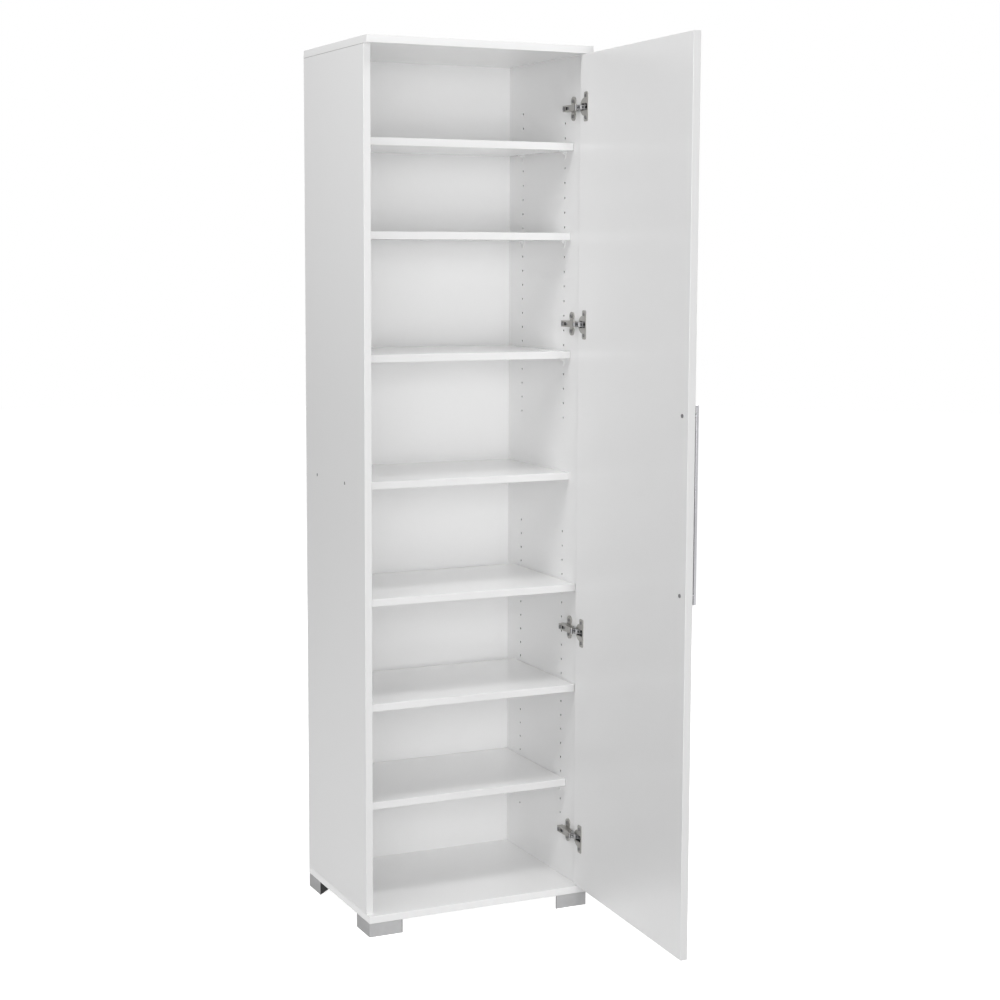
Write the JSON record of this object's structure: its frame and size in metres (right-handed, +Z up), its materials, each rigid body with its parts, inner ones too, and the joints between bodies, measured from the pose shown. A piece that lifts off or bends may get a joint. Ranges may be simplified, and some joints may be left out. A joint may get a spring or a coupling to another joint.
{
  "type": "broom cupboard",
  "caption": "Tall white board cupboard with a side-hinged door on concealed cup hinges, adjustable shelves on pegs, a fixed middle shelf, a slim bar handle and metal corner feet.",
  "frame": {"origin": "on the floor under the middle of the carcass, in the plane of the feet's undersides", "axes": "+Z up, -Y out of the front, +X to the right seen from the front, which is the hinge side; the door stands open at rest"},
  "size_m": [0.515, 0.881, 1.875],
  "materials": {
    "white_board": "white melamine facing on chipboard, satin",
    "back_board": "white lacquered thin fibreboard, satin",
    "dowel_wood": "bare beech",
    "white_plastic": "moulded, satin",
    "nickel_hinge": "nickel-plated, satin",
    "plain_steel": "zinc-plated",
    "chrome_handle": "polished",
    "brushed_feet": "brushed, satin"
  },
  "bodies": {
    "carcass": {"top_panel": "white_board", "bottom_panel": "white_board", "left_side_panel": "white_board", "right_side_panel": "white_board", "back_panel": "back_board", "fixed_middle_shelf": "white_board", "adjustable_shelf_1": "white_board", "adjustable_shelf_2": "white_board", "adjustable_shelf_3": "white_board", "adjustable_shelf_4": "white_board", "adjustable_shelf_5": "white_board", "adjustable_shelf_6": "white_board", "shelf_pegs": "white_plastic", "front_left_foot": "brushed_feet", "front_right_foot": "brushed_feet", "rear_right_foot": "brushed_feet", "rear_left_foot": "brushed_feet", "foot_screws": "plain_steel", "carcass_screws": "plain_steel", "corner_dowels": "dowel_wood", "back_nails": "plain_steel", "hinge_plate_1": "nickel_hinge", "hinge_plate_2": "nickel_hinge", "hinge_plate_3": "nickel_hinge", "hinge_plate_4": "nickel_hinge", "hinge_arm_1": "nickel_hinge", "hinge_arm_2": "nickel_hinge", "hinge_arm_3": "nickel_hinge", "hinge_arm_4": "nickel_hinge", "arm_pins": "plain_steel", "closing_springs": "plain_steel", "plate_screws": "plain_steel", "arm_fixing_screws": "plain_steel", "arm_adjusting_screws": "plain_steel"},
    "long_links": {"long_link_1": "plain_steel", "long_link_2": "plain_steel", "long_link_3": "plain_steel", "long_link_4": "plain_steel"},
    "door": {"door_panel": "white_board", "handle": "chrome_handle", "handle_screws": "plain_steel", "hinge_cup_1": "nickel_hinge", "hinge_cup_2": "nickel_hinge", "hinge_cup_3": "nickel_hinge", "hinge_cup_4": "nickel_hinge", "cup_pins": "plain_steel", "cup_screws": "plain_steel"},
    "short_links": {"short_link_1": "plain_steel", "short_link_2": "plain_steel", "short_link_3": "plain_steel", "short_link_4": "plain_steel"}
  },
  "joints": [
    {"name": "long_link_swing", "type": "hinge", "parent": "carcass", "child": "long_links", "pos_m": [0.2277, -0.1585, 0.952], "axis": [0, 0, 1], "range_deg": [-2.73, 23.68]},
    {"name": "door_hinge", "type": "hinge", "parent": "long_links", "child": "door", "pos_m": [0.23878, -0.18552, 0.952], "axis": [0, 0, 1], "range_deg": [-110.67, 12.72]},
    {"name": "short_link_swing", "type": "hinge", "parent": "door", "child": "short_links", "pos_m": [0.24025, -0.19001, 0.952], "axis": [0, 0, 1], "range_deg": [-12.86, 111.75]}
  ],
  "couplings": [
    {"joint": "long_link_swing", "follows": "door_hinge", "ratio": -0.21388},
    {"joint": "short_link_swing", "follows": "door_hinge", "ratio": -1.0097}
  ]
}
